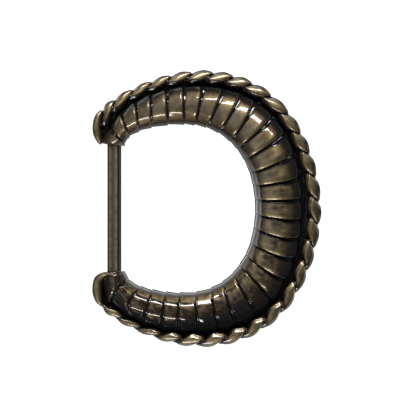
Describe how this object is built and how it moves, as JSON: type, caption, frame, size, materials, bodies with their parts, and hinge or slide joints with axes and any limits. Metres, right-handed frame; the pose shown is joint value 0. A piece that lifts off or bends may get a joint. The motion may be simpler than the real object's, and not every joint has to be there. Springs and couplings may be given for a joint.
{
  "type": "d-ring buckle",
  "caption": "Die-cast D-ring strap buckle with a fixed square bar, a raised strip-wound frame and a cast rope edge, flat on its back.",
  "frame": {"origin": "middle of the buckle's outline, on its flat back", "axes": "+X from the strap bar to the round of the D, +Y along the strap bar, +Z out of the ornamented front"},
  "size_m": [0.055, 0.0666, 0.0067],
  "materials": {
    "antique_brass": "antique brass plate on zinc casting, semi-gloss, blackened in the recesses and rubbed bright on the raised edges"
  },
  "bodies": {
    "root": {"buckle_casting": "antique_brass"}
  },
  "joints": []
}
